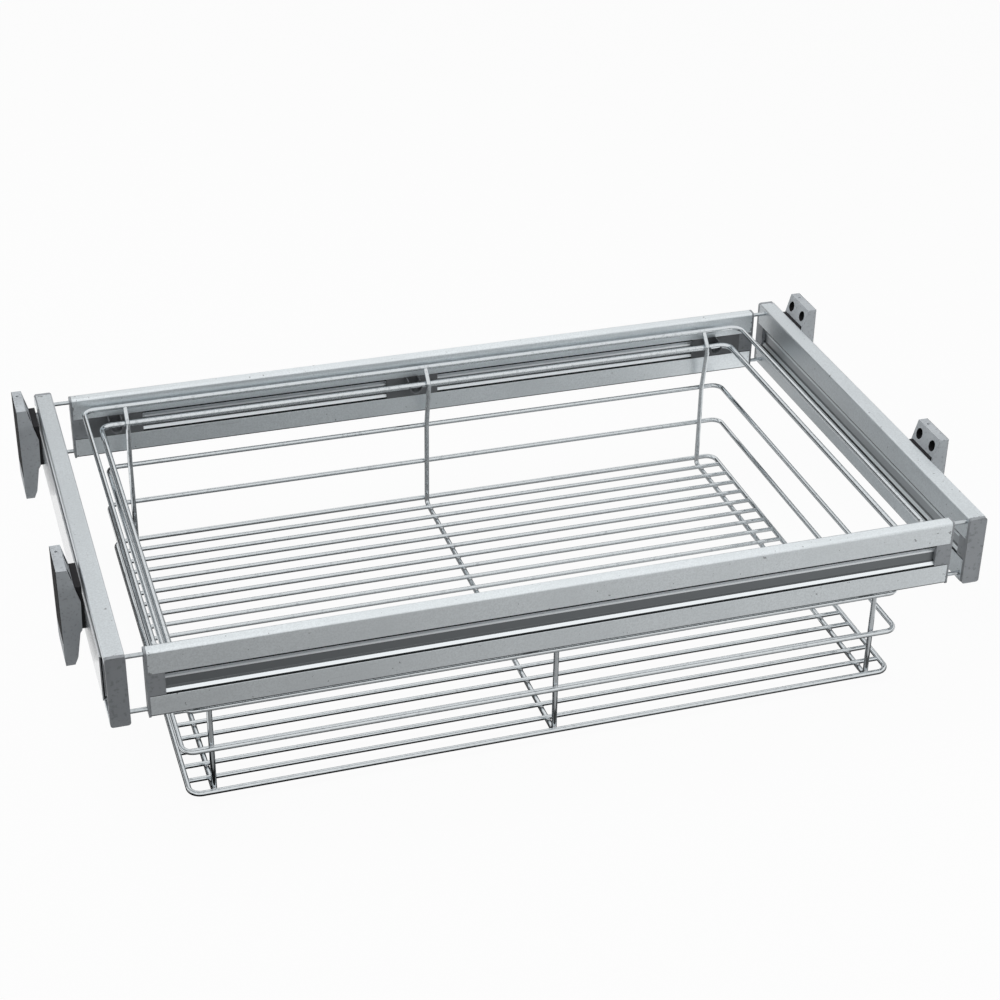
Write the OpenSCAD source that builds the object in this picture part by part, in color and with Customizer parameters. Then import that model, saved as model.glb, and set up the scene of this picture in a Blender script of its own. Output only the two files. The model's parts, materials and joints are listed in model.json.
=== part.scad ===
// Wardrobe pull-out drawer: a wire basket in an aluminium frame on ball-bearing slides
// X runs across the cabinet, Y runs to its back and Z runs up, in millimetres
// The origin is midway between the cabinet sides, at the middle of the side rails'
// length, level with the underside of the basket
// Sizes called a drop are measured down from the top of the rails

/* [Cabinet] */
// Clear width between the two cabinet sides
cabinet_w = 864; // [700:1:1200]
// Gap between a cabinet side and the side rail's outer face
side_gap = 23; // [22.5:0.5:40]

/* [Side rails] */
// Length of a side rail with its end caps
rail_len = 490; // [420:1:600]
// Height of a side rail
rail_h = 70; // [68:1:90]
// Width of a side rail
rail_w = 17.5; // [16:0.5:30]
// Wall behind the bands of the inner face
rail_wall = 1.8; // [1.2:0.1:2.4]
// Thickness of the top and bottom flanges
rail_flange = 2; // [1.2:0.1:3]
// Height of the lips beside the slide
rail_lip = 6; // [3:0.5:8]
// Radius of the long outside edges
rail_edge_r = 1.6; // [0.5:0.1:1.8]

/* [Cross rails] */
// Height of the front and rear rails
cross_h = 66; // [62:1:80]
// Thickness of the front and rear rails
cross_t = 12; // [10.5:0.5:20]
// Wall of the front and rear rails
cross_wall = 1.5; // [1.2:0.1:2]
// Radius of the top edges
cross_edge_r = 3; // [1:0.1:4]
// Distance of the front rail behind the front end of the side rails
front_inset = 1; // [0:0.5:6]
// Distance of the rear rail before the rear end of the side rails
rear_inset = 12; // [8:0.5:16]
// Gap between a side rail and the end of a cross rail
rod_gap = 15.5; // [6:0.5:30]

/* [Rail grooves] */
// Drop of the groove's upper edge
groove_drop = 23; // [18:0.5:26]
// Height of the groove in the face
groove_h = 23; // [18:0.5:26]
// Depth of the groove
groove_deep = 4; // [3:0.1:4.2]
// Depth of the small step along both edges
groove_step = 1; // [0.5:0.1:1.5]
// Height of the small step
groove_step_h = 2; // [1:0.1:3]
// Height of the sloping side
groove_bevel_h = 4.5; // [2:0.1:4.5]

/* [End caps] */
// Thickness of a side rail cap outside the rail
side_cap_t = 4; // [2:0.5:6]
// Radius of a side rail cap's corners
side_cap_r = 2.6; // [1.6:0.1:4]
// Length of the plugs that hold the rods
side_plug_len = 24; // [20:1:26]
// Height of those plugs
side_plug_h = 9; // [8:0.5:9.5]
// Length of the groove block on a side rail cap
side_block_len = 12; // [6:1:16]
// Thickness of a cross rail cap outside the rail
cross_cap_t = 2; // [1:0.5:8]
// Length of the plugs and groove blocks on a cross rail cap
cross_plug_len = 14; // [6:1:20]
// Gap under the groove blocks
block_seam = 0.8; // [0.2:0.1:1.5]
// How far a cross rail cap reaches below its rail
cross_cap_lip = 1; // [0:0.1:2]

/* [Connecting rods] */
// Diameter of a rod
rod_d = 4; // [3:0.5:5]
// Length of a rod inside the side rail
rod_in_side = 13; // [8:0.5:14]
// Length of a rod inside the cross rail
rod_in_cross = 40; // [20:1:100]
// Drop of the upper rods
rod_top_drop = 5; // [4.5:0.1:6.5]
// Height of the lower rods above the underside of the cross rails
rod_low_rise = 4.8; // [4:0.1:6]

/* [Slides] */
// Distance of the slide's front end behind the front of the side rail
slide_front = 24; // [20:1:60]
// Distance of the slide's rear end before the rear of the side rail
slide_rear = 16; // [14:1:60]
// Thickness of the slide, from the cabinet side to the drawer side
slide_t = 12.7; // [12.7:0.1:13.5]
// How far the slide stands out of the side rail
slide_stand = 2; // [1.8:0.1:2.4]
// Drop of the slide's centre line
slide_drop = 35; // [34:0.5:36]
// Sheet thickness of the slide members
sheet = 1.2; // [1:0.05:1.3]
// Height of the outer ball rows above and below the centre line
outer_ball_rise = 19.4; // [19:0.1:20]
// Distance of the outer ball rows from the cabinet side of the slide
outer_ball_in = 5.2; // [5.2:0.05:5.4]
// Height of the inner ball rows above and below the centre line
inner_ball_rise = 15.6; // [15:0.1:15.8]
// Distance of the inner ball rows from the cabinet side of the slide
inner_ball_in = 8.9; // [8.9:0.05:9.1]
// Distance of the middle member's web from the cabinet side of the slide
middle_web_in = 2.3; // [2.25:0.05:2.4]

/* [Balls and cages] */
// Diameter of a ball
ball_d = 3.6; // [3:0.1:3.7]
// Clearance between a ball and its race
ball_gap = 0.05; // [0.02:0.01:0.1]
// Distance between balls
ball_pitch = 25; // [8:1:40]
// Sheet thickness of a cage
cage_t = 0.5; // [0.4:0.05:0.6]
// How much a cage is shorter than half the slide
cage_short = 15; // [10:1:60]

/* [Cabinet brackets] */
// Length of a bracket along the cabinet side
bracket_len = 45; // [40:1:80]
// Height of a bracket
bracket_h = 99; // [90:1:120]
// Rise of a bracket above the rails
bracket_rise = 14.5; // [10:0.5:20]
// Thickness at the top
bracket_top_t = 9.5; // [8:0.5:10]
// Thickness at the level of the rails' top
bracket_neck_t = 14; // [11:0.5:15]
// Largest thickness, behind the slide
bracket_mid_t = 19; // [17:0.5:19.5]
// Thickness near the bottom
bracket_low_t = 12; // [9:0.5:14]
// Distance of the front bracket from the front of the side rails
bracket_front = 123; // [60:1:150]
// Distance of the rear bracket from the rear of the side rails
bracket_rear = 17; // [16.5:0.5:60]
// Diameter of the cabinet screw holes
cabinet_hole_d = 5.2; // [4:0.1:6]
// Diameter of their counterbores
cabinet_bore_d = 10.5; // [8:0.5:11]
// Material left under a counterbore
cabinet_bore_floor = 4; // [2:0.5:6]
// Distance between the two cabinet holes of a bracket
cabinet_hole_pitch = 26; // [20:1:32]
// Rise of the cabinet holes above the rails' top
cabinet_hole_rise = 4; // [2:0.5:6]
// Shortening of the spacer at each end of the bracket
spacer_inset = 2; // [0:0.5:6]
// Drop of the spacer's upper edge
spacer_drop = 5; // [3:0.5:10]

/* [Screws] */
// Diameter of the slide screws
screw_d = 3.8; // [3:0.1:5]
// Diameter of the screw heads
screw_head_d = 7.6; // [6:0.1:9]
// Height of a pan head
pan_head_h = 1.8; // [1:0.1:2.4]
// Height of a countersunk head
sunk_head_h = 1.9; // [1.5:0.1:2.4]
// Length of a bracket screw with its head
bracket_screw_len = 14; // [10:1:15]
// Distance between the two screws of a bracket
bracket_screw_pitch = 24; // [15:1:32]
// Drop of the bracket screws
bracket_screw_drop = 30; // [28:0.5:40]
// Depth of the rail screws in the rail wall
rail_screw_deep = 2.1; // [1.5:0.1:2.2]
// Distance of the outer rail screws from the ends of the slide
rail_screw_end = 35; // [15:1:80]

/* [Basket] */
// Place of the basket, counted from the frame's middle to the right
basket_x = -4; // [-6:0.5:6]
// Gap between a side rail and the centre of the rim wire
rim_side_gap = 31.5; // [20:0.5:45]
// Gap between a cross rail and the centre of the rim and the lower hoops
rim_cross_gap = 5.5; // [4:0.5:6]
// Gap between a cross rail and the centre of the support hoop
support_cross_gap = 13.5; // [12:0.5:16]
// Diameter of the rim wire
rim_d = 5; // [3:0.5:6]
// Diameter of the support hoop wire
support_d = 6; // [4:0.5:6]
// Diameter of the lower hoop wires
hoop_d = 5; // [3:0.5:5.5]
// Corner radius of the hoops, at the wire's centre
hoop_corner_r = 11; // [8:0.5:11.5]
// Drop of the rim
rim_drop = 11; // [8:0.5:13]
// Drop of the support hoop
support_drop = 27; // [25:0.5:29]
// Drop of the third hoop
third_drop = 80; // [74:1:100]
// Drop of the fourth hoop
fourth_drop = 124; // [110:1:140]
// Drop of the floor hoop
floor_drop = 170.6; // [150:0.2:260]
// How much further in the sides of the support hoop lie than the rim's
support_side_in = 15; // [8:0.5:20]
// How much further in the sides of the third hoop lie than the rim's
third_side_in = 19; // [8:0.5:40]
// How much further in the sides of the fourth hoop lie than the rim's
fourth_side_in = 16.5; // [8:0.5:40]
// How much further in the sides of the floor hoop lie than the rim's
floor_side_in = 20; // [8:0.5:40]
// Diameter of the cross wires
cross_wire_d = 5; // [3:0.5:6]
// Bend radius of the cross wires, at the wire's centre
cross_bend_r = 5; // [4:0.5:8]
// Distance of the outer cross wires from the sides of the support hoop
cross_wire_in = 27; // [27:1:40]
// Diameter of the floor wires
floor_wire_d = 4.4; // [2.5:0.1:5]
// Wanted distance between floor wires
floor_pitch = 21; // [12:0.5:40]
// How far welded wires sink into each other
weld = 0.3; // [0.1:0.05:0.5]

/* [Basket clips] */
// Length of a clip along its rail
clip_len = 56; // [46:1:60]
// Width of the cradle outside
cradle_w = 14; // [11:0.5:14.5]
// Wall of the cradle
cradle_wall = 1.3; // [1:0.1:2]
// How far the cradle stands out of the rail
cradle_out = 18; // [17.5:0.5:20]
// Depth of the cradle below the centre of the support hoop
cradle_deep = 8.5; // [8:0.5:12]
// Gap between a corner cradle and the cross wire beside it
cradle_gap = 1.5; // [0.5:0.1:2]
// Distance of the middle clips from the middle cross wire, to the left
middle_clip_out = 13; // [11:0.5:60]

/* [Hidden] */
$fn = 64;
cut = 1;             // cutting tools run past a face by this much
fit = 0.15;          // gap between a plug and its rail
rod_fit = 0.05;      // radial gap round a rod or a screw in its tight hole
hole_fit = 0.2;      // radial gap round a rod or a screw in a wall
cradle_fit = 0.3;    // gap between the support hoop and its cradle
stop_gap = 1;        // gap between a front cap's block in the channel and the slide
slight_bend = 70;    // wire corners below this angle get no round bend
ball_over = 0.04;    // how much thicker than the wire the ball at such a corner is

left = -1;
right = 1;
front = -1;
rear = 1;

// Levels, counted up from the underside of the basket
base_drop = floor_drop + floor_wire_d / 2 + cross_wire_d / 2 - weld;
top_z = base_drop + cross_wire_d / 2;

// Places across the cabinet
rail_outer = cabinet_w / 2 - side_gap;
rail_inner = rail_outer - rail_w;
cross_half = rail_inner - rod_gap;
slide_face = rail_outer + slide_stand;
slide_seat = rail_w + slide_stand - slide_t;

// Places along the side rails
front_end = -rail_len / 2;
rear_end = rail_len / 2;
slide_y0 = front_end + slide_front;
slide_y1 = rear_end - slide_rear;
slide_len = slide_y1 - slide_y0;
front_rail_y = front_end + front_inset;
rear_rail_y = rear_end - rear_inset - cross_t;
opening_y0 = front_rail_y + cross_t;
opening_mid = (opening_y0 + rear_rail_y) / 2;
opening_half = (rear_rail_y - opening_y0) / 2;

// Hoops of the basket: half sizes to the wire's centre
rim_x = rail_inner - rim_side_gap;
hoop_y = opening_half - rim_cross_gap;
support_y = opening_half - support_cross_gap;
support_x = rim_x - support_side_in;
third_x = rim_x - third_side_in;
fourth_x = rim_x - fourth_side_in;
floor_x = rim_x - floor_side_in;
cross_wire_out = support_x - cross_wire_in;

// Places of the clips: the corner ones stand against the groove blocks of the rail caps
corner_clip_x = cross_half - cross_cap_t - cross_plug_len - clip_len / 2;
middle_clip_x = basket_x - middle_clip_out;
// Distance of the corner cradles from the basket's middle, just outside the cross wires
corner_cradle_out = cross_wire_out + cross_wire_d / 2 + cradle_gap + cradle_w / 2;

cross_low_r = 1;     // radius of the bottom edges of the cross rails
neck_rise = 2.5;     // rise of a cross wire's upper bend above the support hoop's centre

race_r = ball_d / 2 + ball_gap;
race_out_r = race_r + sheet;
race_from = 20;      // angles between which a race holds its balls
race_to = 160;
outer_web_h = outer_ball_rise + race_out_r;
middle_web_h = outer_ball_rise - race_out_r * sin(race_from);
inner_web_h = inner_ball_rise - race_out_r * sin(race_from);
cage_len = slide_len / 2 - cage_short;
cage_y0 = (slide_y0 + slide_y1 - cage_len) / 2;
cage_rim = 0.7;      // cage sheet beyond a ball
cage_gap = 0.3;      // gap between a cage and the member under it
ball_count = floor((cage_len - ball_pitch) / ball_pitch) + 1;

bracket_foot_h = 3;          // height of the step under the thick part
bracket_toe_h = 7.5;         // height of the last slope at the bottom
bracket_toe_t = 8.8;         // thickness at the bottom
bracket_back_bevel = 0.5;    // bevel of the back edge at the bottom
mid_top_drop = 20;           // drop of the upper end of the thick part
mid_low_drop = 49;           // drop of its lower end
mid_taper = 1;               // how much thinner the thick part is there
foot_taper = 2;              // how much thinner still the end of the step is
neck_drop = 2;               // drop of the bend in the front face
top_hole_r = 1.5;            // radius of the small blind hole in the top face
top_hole_deep = 2;           // its depth
top_hole_y = 34;             // its distance from the bracket's front face
mid_low_t = bracket_mid_t - mid_taper;

aluminium = [0.80, 0.81, 0.82];
steel = [0.62, 0.63, 0.65];
chrome = [0.72, 0.73, 0.75];
cap_grey = [0.42, 0.43, 0.45];
clip_grey = [0.33, 0.34, 0.36];
bracket_grey = [0.55, 0.56, 0.58];
spacer_black = [0.12, 0.12, 0.13];

// Drawing helpers

// Mirrors a right-hand piece to the left
module on_side(side) {
    mirror([side < 0 ? 1 : 0, 0, 0]) children();
}

// Extrudes an outline in X and Z along Y
module along_y(y0, y1) {
    translate([0, y1, 0]) rotate([90, 0, 0]) linear_extrude(height = y1 - y0) children();
}

// Extrudes an outline in Y and Z along X
module along_x(x0, x1) {
    translate([x0, 0, 0]) rotate([90, 0, 90]) linear_extrude(height = x1 - x0) children();
}

// A cylinder along X
module bar_x(x0, x1, y, z, r) {
    translate([x0, y, z]) rotate([0, 90, 0]) cylinder(h = x1 - x0, r = r);
}

// A circle in the plane of an outline
module circle_at(place, r) {
    translate(place) circle(r = r);
}

// A box given by its low and high corner in the plane of an outline
module span(low, high) {
    translate(low) square([high[0] - low[0], high[1] - low[1]]);
}

// An outline with two rounded upper and two rounded lower corners
module rounded_span(low, high, top_r, low_r) {
    union() {
        span([low[0] + low_r, low[1]], [high[0] - low_r, low[1] + low_r]);
        span([low[0], low[1] + low_r], [high[0], high[1] - top_r]);
        span([low[0] + top_r, high[1] - top_r], [high[0] - top_r, high[1]]);
        for (x = [low[0] + low_r, high[0] - low_r])
            circle_at([x, low[1] + low_r], low_r);
        for (x = [low[0] + top_r, high[0] - top_r])
            circle_at([x, high[1] - top_r], top_r);
    }
}

// Part of a ring between two angles
module ring_arc(r_in, r_out, from, to) {
    reach = 2 * r_out;
    mid = (from + to) / 2;
    intersection() {
        difference() {
            circle(r = r_out);
            circle(r = r_in);
        }
        polygon([
            [0, 0],
            [reach * cos(from), reach * sin(from)],
            [reach * cos(mid), reach * sin(mid)],
            [reach * cos(to), reach * sin(to)]
        ]);
    }
}

function unit(v) = v / norm(v);
function turn(a, b) = atan2(a[0] * b[1] - a[1] * b[0], a[0] * b[0] + a[1] * b[1]);

// A round wire through the given points in one plane. A sharp corner gets a round bend
// and a slight one is a ball between the two straights, with its poles inside them
module bent_wire(points, bend_r, wire_d, closed = false) {
    count = len(points);
    legs = closed ? count : count - 1;
    heading = [for (i = [0 : legs - 1]) unit(points[(i + 1) % count] - points[i])];
    angle = [for (v = heading) atan2(v[1], v[0])];
    bend = [for (i = [0 : count - 1])
        closed || (i > 0 && i < count - 1) ? turn(heading[(i + legs - 1) % legs], heading[i % legs]) : 0];
    trim = [for (a = bend) abs(a) > slight_bend ? bend_r * tan(abs(a) / 2) : 0];
    union() {
        for (i = [0 : legs - 1]) {
            j = (i + 1) % count;
            start = points[i] + heading[i] * trim[i];
            run = norm(points[j] - points[i]) - trim[i] - trim[j];
            translate([start[0], start[1], 0])
                rotate([0, 0, angle[i]]) rotate([0, 90, 0]) cylinder(h = run, d = wire_d);
        }
        for (i = [0 : count - 1]) if (trim[i] > 0) {
            before = heading[(i + legs - 1) % legs];
            inward = [-before[1], before[0]] * sign(bend[i]);
            centre = points[i] - before * trim[i] + inward * bend_r;
            first = atan2(-inward[1], -inward[0]);
            translate([centre[0], centre[1], 0])
                rotate([0, 0, min(first, first + bend[i])])
                rotate_extrude(angle = abs(bend[i]))
                translate([bend_r, 0]) circle(d = wire_d);
        } else if (bend[i] != 0) {
            translate([points[i][0], points[i][1], 0])
                rotate([0, 0, angle[i]]) rotate([90, 0, 90]) sphere(d = wire_d + ball_over);
        }
    }
}

// Outline of the groove, open towards the face, with a gap all round for the plugs and
// another one under them
function groove_points(gap, under) = let (
        top = -groove_drop - gap,
        low = -groove_drop - groove_h + under,
        deep = groove_deep - gap,
        bevel = groove_step_h + groove_bevel_h
    ) [
        [0, top], [groove_step, top], [groove_step, top - groove_step_h],
        [deep, top - bevel], [deep, low + bevel],
        [groove_step, low + groove_step_h], [groove_step, low], [0, low]
    ];

// The same outline as a cutting tool that starts before the face
module groove_cut() {
    union() {
        polygon(groove_points(0, 0));
        span([-cut, -groove_drop - groove_h], [0, -groove_drop]);
    }
}

// Side rail, with the outline's origin at the top of its inner face

module side_rail_outline() {
    groove_end = groove_drop + groove_h;
    lip_in = rail_w - rail_wall;
    difference() {
        rounded_span([0, -rail_h], [rail_w, 0], rail_edge_r, rail_edge_r);
        groove_cut();
        span([rail_wall, -groove_drop + rail_wall], [lip_in, -rail_flange]);
        span([slide_seat, -rail_h + rail_flange], [lip_in, -rail_flange]);
        span([rail_wall, -rail_h + rail_flange], [lip_in, -groove_end - rail_wall]);
        span([slide_seat, -rail_h + rail_flange + rail_lip], [rail_w + cut, -rail_flange - rail_lip]);
    }
}

function screw_ys() = [slide_y0 + rail_screw_end, (slide_y0 + slide_y1) / 2, slide_y1 - rail_screw_end];

// Levels and places of the rods
rod_levels = [top_z - rod_top_drop, top_z - cross_h + rod_low_rise];
function rod_y(end) = (end < 0 ? front_rail_y : rear_rail_y) + cross_t / 2;

module side_rail(side) {
    color(aluminium) on_side(side) difference() {
        translate([rail_inner, 0, top_z])
            along_y(front_end + side_cap_t, rear_end - side_cap_t) side_rail_outline();
        for (end = [front, rear], z = rod_levels)
            bar_x(rail_inner - cut, rail_inner + slide_seat + cut, rod_y(end), z, rod_d / 2 + hole_fit);
        for (y = screw_ys())
            bar_x(rail_inner + slide_seat - rail_screw_deep - hole_fit, rail_inner + slide_seat + cut,
                y, top_z - slide_drop, screw_d / 2 + rod_fit);
    }
}

// Cap of a side rail: the front one closes the channel before the slide, and the rear
// one leaves a way for the fixed slide member

module side_cap(side, end) {
    plate_y0 = end < 0 ? front_end : rear_end - side_cap_t;
    inside = -end;
    seam = end < 0 ? front_end + side_cap_t : rear_end - side_cap_t;
    far = function (length) seam + inside * length;
    plug_in = rail_wall + fit;
    plug_out = rail_w - rail_wall - fit;
    plug_top = rail_flange + fit;
    plug_h = side_plug_h - 2 * fit;
    color(cap_grey) on_side(side) translate([rail_inner, 0, top_z]) difference() {
        union() {
            difference() {
                along_y(plate_y0, plate_y0 + side_cap_t)
                    rounded_span([0, -rail_h], [rail_w, 0], side_cap_r, side_cap_r);
                if (end > 0)
                    along_y(plate_y0 - cut, plate_y0 + side_cap_t + cut)
                        span([slide_seat - 2 * fit, -rail_h + rail_flange + side_plug_h],
                            [rail_w + cut, -rail_flange - side_plug_h]);
            }
            along_y(min(seam, far(side_plug_len)), max(seam, far(side_plug_len))) {
                span([plug_in, -plug_top - plug_h], [plug_out, -plug_top]);
                span([plug_in, -rail_h + plug_top], [plug_out, -rail_h + plug_top + plug_h]);
            }
            along_y(min(seam, far(side_block_len)), max(seam, far(side_block_len)))
                polygon(groove_points(fit, block_seam));
            if (end < 0)
                along_y(seam, slide_y0 - stop_gap)
                    span([slide_seat + fit, -rail_h + plug_top], [plug_out, -plug_top]);
        }
        for (z = rod_levels)
            bar_x(plug_in - cut, rod_in_side + fit, rod_y(end), z - top_z, rod_d / 2 + rod_fit);
    }
}

// Front and rear rails, with the outline's origin at the top of one face

module cross_chambers(gap) {
    groove_end = groove_drop + groove_h;
    low_x = cross_wall + gap;
    high_x = cross_t - cross_wall - gap;
    span([low_x, -groove_drop + cross_wall + gap], [high_x, -cross_wall - gap]);
    span([low_x, -cross_h + cross_wall + gap], [high_x, -groove_end - cross_wall - gap]);
}

module cross_outline() {
    difference() {
        rounded_span([0, -cross_h], [cross_t, 0], cross_edge_r, cross_low_r);
        groove_cut();
        translate([cross_t, 0]) mirror([1, 0]) groove_cut();
        cross_chambers(0);
    }
}

module cross_rail(end) {
    half = cross_half - cross_cap_t;
    color(aluminium)
        translate([0, end < 0 ? front_rail_y : rear_rail_y, top_z])
        along_x(-half, half) cross_outline();
}

module cross_cap(side, end) {
    seam = cross_half - cross_cap_t;
    color(cap_grey) on_side(side)
        translate([0, end < 0 ? front_rail_y : rear_rail_y, top_z]) difference() {
            union() {
                along_x(seam, cross_half)
                    rounded_span([0, -cross_h - cross_cap_lip], [cross_t, 0], cross_edge_r, cross_low_r);
                along_x(seam - cross_plug_len, seam) {
                    cross_chambers(fit);
                    polygon(groove_points(fit, block_seam));
                    translate([cross_t, 0]) mirror([1, 0]) polygon(groove_points(fit, block_seam));
                }
            }
            for (z = rod_levels)
                bar_x(seam - cross_plug_len - cut, cross_half + cut,
                    cross_t / 2, z - top_z, rod_d / 2 + rod_fit);
        }
}

module rods(side, end) {
    color(chrome) on_side(side)
        for (z = rod_levels)
            bar_x(cross_half - rod_in_cross, rail_inner + rod_in_side, rod_y(end), z, rod_d / 2);
}

// Slide members, with the outline's origin on the cabinet side at the centre line

// Turns an outline drawn from the cabinet side into a right-hand piece
module slide_piece(side, y0, y1) {
    on_side(side) translate([slide_face, 0, top_z - slide_drop])
        along_y(y0, y1) mirror([1, 0]) children();
}

module both_halves() {
    children();
    mirror([0, 1]) children();
}

module slide_outer(side) {
    color(steel) difference() {
        slide_piece(side, slide_y0, slide_y1) {
            span([0, -outer_web_h], [sheet, outer_web_h]);
            both_halves() {
                span([0, outer_web_h - sheet], [outer_ball_in, outer_web_h]);
                translate([outer_ball_in, outer_ball_rise]) ring_arc(race_r, race_out_r, race_from, race_to);
            }
        }
        bracket_screw_places(side) {
            cylinder(h = sunk_head_h + rod_fit, r1 = screw_head_d / 2 + rod_fit, r2 = screw_d / 2 + rod_fit);
            translate([0, 0, -cut]) cylinder(h = cut, d = screw_head_d + 2 * rod_fit);
        }
    }
}

module slide_middle(side) {
    color(steel) slide_piece(side, slide_y0, slide_y1) {
        span([middle_web_in, -middle_web_h], [middle_web_in + sheet, middle_web_h]);
        both_halves() {
            translate([outer_ball_in, outer_ball_rise])
                ring_arc(race_r, race_out_r, -race_to, -race_from);
            translate([inner_ball_in, inner_ball_rise])
                ring_arc(race_r, race_out_r, race_from, race_to);
        }
    }
}

module slide_inner(side) {
    color(steel) difference() {
        slide_piece(side, slide_y0, slide_y1) {
            span([slide_t - sheet, -inner_web_h], [slide_t, inner_web_h]);
            both_halves() {
                translate([inner_ball_in, inner_ball_rise])
                    ring_arc(race_r, race_out_r, -race_to, -race_from);
                span([inner_ball_in + race_r, inner_web_h - sheet], [slide_t, inner_web_h]);
            }
        }
        on_side(side) for (y = screw_ys())
            bar_x(slide_face - slide_t - cut, slide_face - slide_t + sheet + cut,
                y, top_z - slide_drop, screw_d / 2 + hole_fit);
    }
}

// Cages and balls of the two ball runs

module cage_outline(web_in, ball_in, ball_rise) {
    span([web_in, -ball_rise - cage_t / 2], [web_in + cage_t, ball_rise + cage_t / 2]);
    both_halves() span([web_in, ball_rise - cage_t / 2],
        [ball_in + race_r + cage_rim, ball_rise + cage_t / 2]);
}

module ball_places(side, ball_in, ball_rise) {
    first = cage_y0 + (cage_len - (ball_count - 1) * ball_pitch) / 2;
    on_side(side)
        for (i = [0 : ball_count - 1], way = [-1, 1])
            translate([slide_face - ball_in, first + i * ball_pitch, top_z - slide_drop + way * ball_rise])
                children();
}

module cage(side, web_in, ball_in, ball_rise) {
    color(steel) difference() {
        slide_piece(side, cage_y0, cage_y0 + cage_len) cage_outline(web_in, ball_in, ball_rise);
        ball_places(side, ball_in, ball_rise)
            cylinder(h = cage_t + 2 * cut, r = race_r + ball_gap, center = true);
    }
}

module outer_cage(side) {
    cage(side, sheet + cage_gap, outer_ball_in, outer_ball_rise);
}

module inner_cage(side) {
    cage(side, middle_web_in + sheet + cage_gap, inner_ball_in, inner_ball_rise);
}

module balls(side, ball_in, ball_rise) {
    color(chrome) ball_places(side, ball_in, ball_rise) sphere(d = ball_d, $fn = 32);
}

// Brackets on the cabinet sides, with heights counted from the rails' top

function neck_to_mid(drop) = bracket_neck_t
    + (bracket_mid_t - bracket_neck_t) * (drop - neck_drop) / (mid_top_drop - neck_drop);

module bracket_outline() {
    low = bracket_rise - bracket_h;
    wall = cabinet_w / 2;
    polygon([
        [wall, bracket_rise],
        [wall - bracket_top_t, bracket_rise],
        [wall - bracket_neck_t, -neck_drop],
        [wall - bracket_mid_t, -mid_top_drop],
        [wall - mid_low_t, -mid_low_drop],
        [wall - mid_low_t + foot_taper, -mid_low_drop - bracket_foot_h],
        [wall - bracket_low_t, low + bracket_toe_h],
        [wall - bracket_toe_t, low],
        [wall - bracket_back_bevel, low],
        [wall, low + bracket_toe_h]
    ]);
}

function bracket_y(end) = end < 0 ? front_end + bracket_front : rear_end - bracket_rear - bracket_len;
function bracket_mid(end) = bracket_y(end) + bracket_len / 2;

// Places of the bracket screws on both ends, with +Z into the bracket
module bracket_screw_places(side) {
    on_side(side)
        for (end = [front, rear], way = [-1, 1])
            translate([slide_face - sheet, bracket_mid(end) + way * bracket_screw_pitch / 2,
                top_z - bracket_screw_drop])
                rotate([0, 90, 0]) children();
}

module bracket(side, end) {
    wall = cabinet_w / 2;
    color(bracket_grey) difference() {
        on_side(side) difference() {
            translate([0, 0, top_z])
                along_y(bracket_y(end), bracket_y(end) + bracket_len) bracket_outline();
            for (way = [-1, 1]) {
                y = bracket_mid(end) + way * cabinet_hole_pitch / 2;
                z = top_z + cabinet_hole_rise;
                bar_x(wall - bracket_mid_t - cut, wall + cut, y, z, cabinet_hole_d / 2);
                bar_x(wall - bracket_mid_t - cut, wall - cabinet_bore_floor, y, z, cabinet_bore_d / 2);
            }
            translate([wall - bracket_top_t / 2, bracket_y(end) + top_hole_y,
                top_z + bracket_rise - top_hole_deep])
                cylinder(h = top_hole_deep + cut, r = top_hole_r);
        }
        bracket_screw_places(side)
            cylinder(h = bracket_screw_len + fit, d = screw_d + 2 * rod_fit);
    }
}

module spacer(side, end) {
    wall = cabinet_w / 2;
    color(spacer_black) difference() {
        on_side(side) translate([0, 0, top_z])
            along_y(bracket_y(end) + spacer_inset, bracket_y(end) + bracket_len - spacer_inset)
            polygon([
                [slide_face, -spacer_drop],
                [wall - neck_to_mid(spacer_drop), -spacer_drop],
                [wall - bracket_mid_t, -mid_top_drop],
                [wall - mid_low_t, -mid_low_drop],
                [slide_face, -mid_low_drop]
            ]);
        bracket_screw_places(side) {
            cylinder(h = bracket_screw_len, d = screw_d + 2 * hole_fit);
            cylinder(h = sunk_head_h + rod_fit, r1 = screw_head_d / 2 + rod_fit, r2 = screw_d / 2 + rod_fit);
        }
    }
}

module bracket_screws() {
    color(steel) for (side = [left, right])
        bracket_screw_places(side) union() {
            cylinder(h = sunk_head_h, r1 = screw_head_d / 2, r2 = screw_d / 2);
            cylinder(h = bracket_screw_len, d = screw_d);
        }
}

module rail_screws() {
    seat = slide_face - slide_t;
    color(steel) for (side = [left, right]) on_side(side)
        for (y = screw_ys()) union() {
            bar_x(seat + sheet, seat + sheet + pan_head_h, y, top_z - slide_drop, screw_head_d / 2);
            bar_x(seat - rail_screw_deep, seat + sheet, y, top_z - slide_drop, screw_d / 2);
        }
}

// Basket clips, drawn for the rear rail and mirrored to the front rail

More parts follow.
